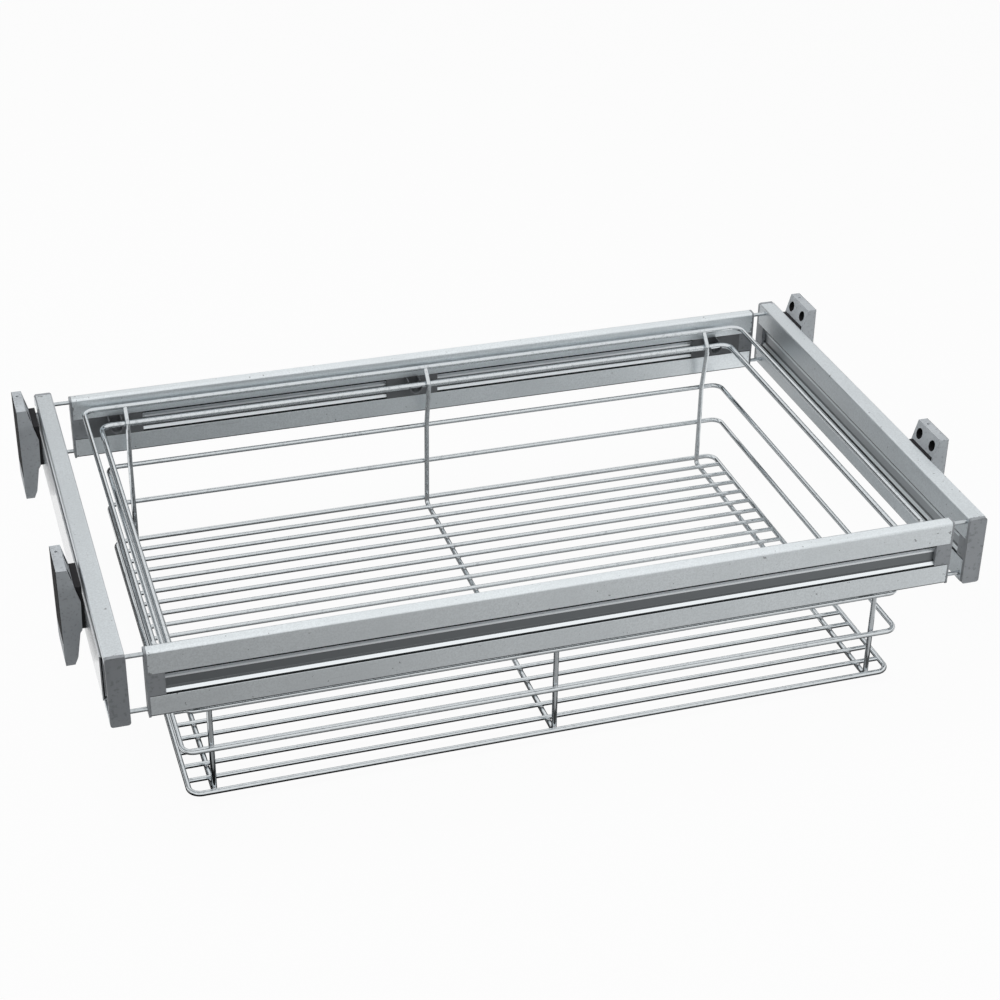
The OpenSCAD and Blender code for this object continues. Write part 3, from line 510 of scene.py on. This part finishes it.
# Floor, backdrop and light, in metres and watts. The grey cards lie and stand round the
# object as in a studio for metal: only reflections show them, so that wires and edges
# stand out from the white. A card's two levels are those at the start and the end of its
# axis. The world brightens from worldSide to worldTop over the heights in worldRise
floorZ, cardZ = -0.0005, -0.0003
studio = {
    "floorSize": 16.0,
    "floorColour": (0.45, 0.45, 0.45),
    "floorRoughness": 0.9,
    "floorWhiteness": 0.95,
    "worldTop": 0.85,
    "worldSide": 0.08,
    "worldRise": (0.1, 0.8),
    "lamps": (
        {"name": "softboxAbove", "place": (-0.9, 0.35, 2.1), "aim": (0.0, 0.0, 0.1),
         "size": 1.8, "power": 36},
        {"name": "softboxRight", "place": (1.2, -0.95, 0.5), "aim": (0.4, -0.25, 0.14),
         "size": 0.5, "power": 8},
    ),
    "cards": (
        {"name": "cardFrontFloor", "low": (-1.0, -3.0, cardZ), "high": (1.0, -0.262, cardZ),
         "axis": "X", "levels": (0.06, 0.8)},
        {"name": "cardUnderFront", "low": (-0.42, -0.262, cardZ), "high": (0.42, -0.12, cardZ),
         "axis": "X", "levels": (0.0, 0.1)},
        {"name": "cardUnderMiddle", "low": (-0.4, -0.12, cardZ), "high": (0.37, 0.05, cardZ),
         "axis": "X", "levels": (0.15, 0.6)},
        {"name": "cardUnderBack", "low": (-0.4, 0.05, cardZ), "high": (0.37, 0.26, cardZ),
         "axis": "X", "levels": (0.04, 0.45)},
        {"name": "cardBackFloor", "low": (-0.4, 0.26, cardZ), "high": (0.45, 0.65, cardZ),
         "axis": "X", "levels": (0.2, 0.6)},
        {"name": "cardBack", "low": (-3.2, 3.0, 0.0), "high": (3.2, 3.0, 0.6),
         "axis": "Z", "levels": (0.3, 0.3)},
        {"name": "cardBackLeft", "low": (-2.6, 2.9, 0.0), "high": (-0.3, 2.9, 2.0),
         "axis": "Z", "levels": (0.02, 0.15)},
        {"name": "cardBackRight", "low": (1.5, 2.9, 0.0), "high": (3.2, 2.9, 1.1),
         "axis": "Z", "levels": (0.04, 0.12)},
        {"name": "cardLeft", "low": (-3.2, -3.0, 0.0), "high": (-3.2, 3.0, 0.6),
         "axis": "Z", "levels": (0.1, 0.1)},
        {"name": "cardRight", "low": (3.2, -3.0, 0.0), "high": (3.2, 3.0, 0.6),
         "axis": "Z", "levels": (0.1, 0.1)},
    ),
}


# Whether a ray shows the plain white backdrop
def seenAsBackdrop(tree):
    rays = addNode(tree, "ShaderNodeLightPath").outputs
    seen = mathNode(tree, "MAXIMUM", rays["Is Camera Ray"], rays["Is Glossy Ray"])
    return mathNode(tree, "MAXIMUM", seen, rays["Is Transmission Ray"])


def makeSheet(name, corners):
    data = bpy.data.meshes.new(name)
    data.from_pydata(corners, [], [(0, 1, 2, 3)])
    obj = bpy.data.objects.new(name, data)
    bpy.context.scene.collection.objects.link(obj)
    return obj


def addWhiteGlow(tree):
    return addNode(tree, "ShaderNodeEmission", Color=(1, 1, 1, 1))


def makeFloor():
    half = studio["floorSize"] / 2
    floor = makeSheet("studioFloor", [(-half, -half, floorZ), (half, -half, floorZ),
                                      (half, half, floorZ), (-half, half, floorZ)])
    mat = bpy.data.materials.new("floorPale")
    mat.use_nodes = True
    tree = mat.node_tree
    shader = tree.nodes["Principled BSDF"]
    shader.inputs["Base Color"].default_value = (*studio["floorColour"], 1)
    shader.inputs["Roughness"].default_value = studio["floorRoughness"]
    mix = addNode(tree, "ShaderNodeMixShader")
    share = mathNode(tree, "MULTIPLY", seenAsBackdrop(tree), studio["floorWhiteness"])
    tree.links.new(share, mix.inputs["Fac"])
    tree.links.new(shader.outputs["BSDF"], mix.inputs[1])
    tree.links.new(addWhiteGlow(tree).outputs["Emission"], mix.inputs[2])
    tree.links.new(mix.outputs["Shader"], tree.nodes["Material Output"].inputs["Surface"])
    layOut(tree)
    floor.data.materials.append(mat)


def makeCard(card):
    low, high = card["low"], card["high"]
    if low[2] == high[2]:
        corners = [low, (high[0], low[1], low[2]), high, (low[0], high[1], low[2])]
    else:
        corners = [low, (high[0], high[1], low[2]), high, (low[0], low[1], high[2])]
    obj = makeSheet(card["name"], corners)
    mat = bpy.data.materials.new(card["name"])
    mat.use_nodes = True
    tree = mat.node_tree
    glow = addWhiteGlow(tree)
    coords = addNode(tree, "ShaderNodeTexCoord").outputs["Object"]
    axis = "XYZ".index(card["axis"])
    level = remap(tree, splitAxes(tree, coords)[axis], (low[axis], high[axis]), card["levels"])
    tree.links.new(level, glow.inputs["Strength"])
    tree.links.new(glow.outputs["Emission"], tree.nodes["Material Output"].inputs["Surface"])
    layOut(tree)
    obj.data.materials.append(mat)
    obj.visible_camera = False
    obj.visible_diffuse = False
    obj.visible_shadow = False
    obj.visible_transmission = False
    obj.visible_volume_scatter = False


def makeWorld():
    world = bpy.data.worlds.new("studioWorld")
    bpy.context.scene.world = world
    world.use_nodes = True
    tree = world.node_tree
    background = tree.nodes["Background"]
    coords = addNode(tree, "ShaderNodeTexCoord").outputs["Generated"]
    level = remap(tree, splitAxes(tree, coords)[2], studio["worldRise"],
                  (studio["worldSide"], studio["worldTop"]))
    strength = addNode(tree, "ShaderNodeMix", data_type="FLOAT")
    tree.links.new(seenAsBackdrop(tree), strength.inputs[0])
    tree.links.new(level, strength.inputs[2])
    strength.inputs[3].default_value = 1.0
    background.inputs["Color"].default_value = (1, 1, 1, 1)
    tree.links.new(strength.outputs[0], background.inputs["Strength"])
    layOut(tree)


def makeLamp(lamp):
    data = bpy.data.lights.new(lamp["name"], "AREA")
    data.shape = "SQUARE"
    data.size = lamp["size"]
    data.energy = lamp["power"]
    obj = bpy.data.objects.new(lamp["name"], data)
    obj.location = lamp["place"]
    towards = Vector(lamp["aim"]) - obj.location
    obj.rotation_euler = towards.to_track_quat("-Z", "Y").to_euler()
    obj.visible_glossy = False  # bright metal shows the cards and the backdrop, not the lamps
    bpy.context.scene.collection.objects.link(obj)


makeFloor()
makeWorld()
for card in studio["cards"]:
    makeCard(card)
for lamp in studio["lamps"]:
    makeLamp(lamp)
print("studio set")

# Camera at the photograph's viewpoint: metres, degrees, and millimetres for the lens
cameraView = {"place": (-0.538, -1.6941, 1.1749), "azimuth": -17.98, "elevation": 30.57,
              "roll": 0.94, "lens": 75.402, "sensorWidth": 36, "farLimit": 50}


def makeCamera():
    azimuth, elevation, roll = [math.radians(cameraView[angle])
                                for angle in ("azimuth", "elevation", "roll")]
    back = Vector((math.sin(azimuth) * math.cos(elevation),
                   -math.cos(azimuth) * math.cos(elevation), math.sin(elevation)))
    level = Vector((math.cos(azimuth), math.sin(azimuth), 0))
    above = back.cross(level)
    right = math.cos(roll) * level + math.sin(roll) * above
    up = math.cos(roll) * above - math.sin(roll) * level
    data = bpy.data.cameras.new("camera")
    data.lens = cameraView["lens"]
    data.sensor_width = cameraView["sensorWidth"]
    data.clip_end = cameraView["farLimit"]
    obj = bpy.data.objects.new("camera", data)
    turn = Matrix((right, up, back)).transposed().to_4x4()
    obj.matrix_world = Matrix.Translation(cameraView["place"]) @ turn
    bpy.context.scene.collection.objects.link(obj)
    bpy.context.scene.camera = obj


makeCamera()
bpy.context.scene.view_settings.view_transform = "Standard"
print("camera set")
